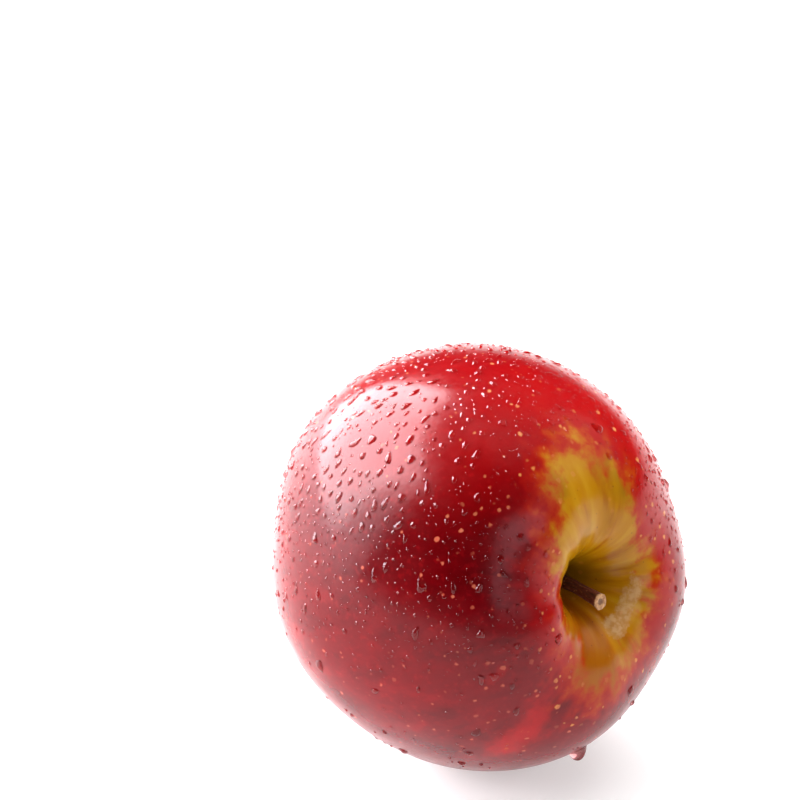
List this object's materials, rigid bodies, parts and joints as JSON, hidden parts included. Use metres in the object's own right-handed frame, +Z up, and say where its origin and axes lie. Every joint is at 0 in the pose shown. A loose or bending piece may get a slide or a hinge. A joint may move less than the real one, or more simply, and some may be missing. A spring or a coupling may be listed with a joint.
{
  "type": "apple",
  "caption": "fresh red apple lying on its side, with a short woody stem in a yellow stem cavity and dried sepals in the basin at the other end",
  "frame": {"origin": "middle of the small flat that the fruit rests on, on the surface under it", "axes": "+Z up from the resting surface; the stem end points between +X and -Y and 13 degrees above the surface, the blossom end points the opposite way"},
  "size_m": [0.0743, 0.0737, 0.0779],
  "materials": {
    "apple_skin": "waxy gloss",
    "stem_bark": "rough",
    "dried_sepal": "matte",
    "dried_blossom": "matte",
    "water": "clear"
  },
  "bodies": {
    "root": {"fruit": "apple_skin", "stem": "stem_bark", "sepal_1": "dried_sepal", "sepal_2": "dried_sepal", "sepal_3": "dried_sepal", "sepal_4": "dried_sepal", "sepal_5": "dried_sepal", "stamen_ring": "dried_blossom", "style_column": "dried_blossom"}
  },
  "joints": []
}
